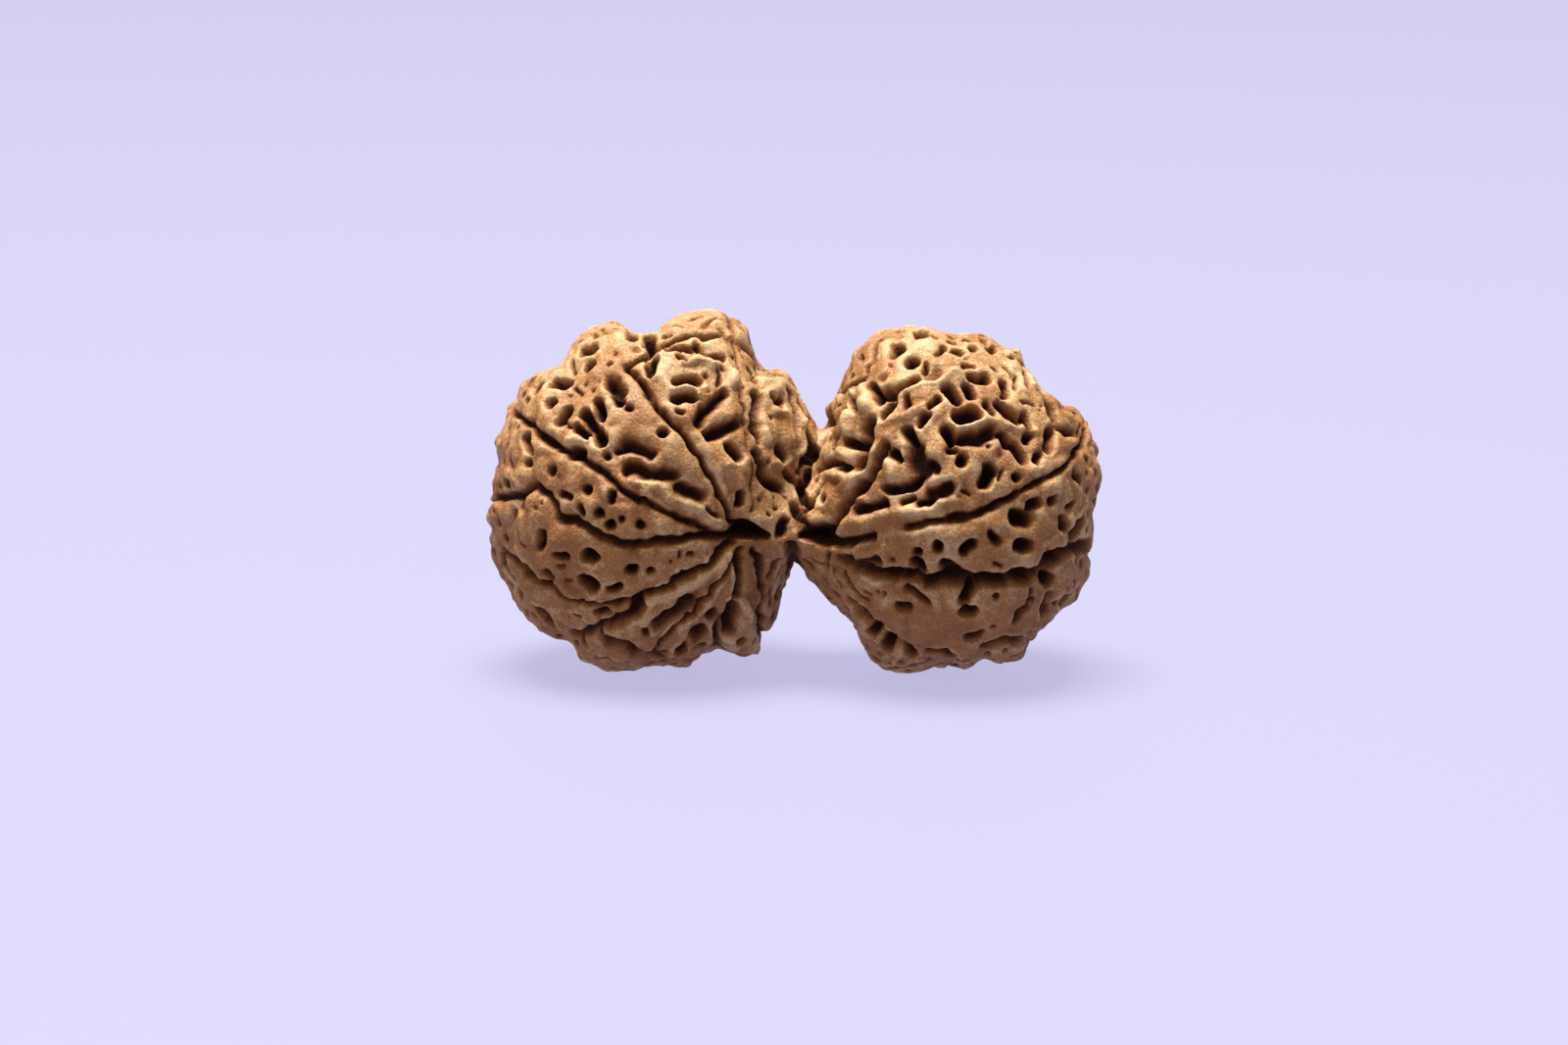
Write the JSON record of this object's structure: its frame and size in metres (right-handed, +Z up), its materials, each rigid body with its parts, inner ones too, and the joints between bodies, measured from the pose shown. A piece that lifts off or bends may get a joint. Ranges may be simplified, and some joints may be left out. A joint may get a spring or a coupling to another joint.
{
  "type": "rudraksha seed",
  "caption": "Naturally conjoined pair of rudraksha seeds: furrowed, pitted beads grown together along a short web, with pole holes on two sides.",
  "frame": {"origin": "on the ground under the middle of the pair: the centre of the bounding box's bottom", "axes": "+X along the pair, from the larger bead to the smaller; -Y towards the front pole holes; +Z up"},
  "size_m": [0.0378, 0.0208, 0.0221],
  "materials": {
    "seed_stone": "waxy ochre crests over rough, reddish-brown furrows and pits"
  },
  "bodies": {
    "root": {"rudraksha_seed": "seed_stone"}
  },
  "joints": []
}
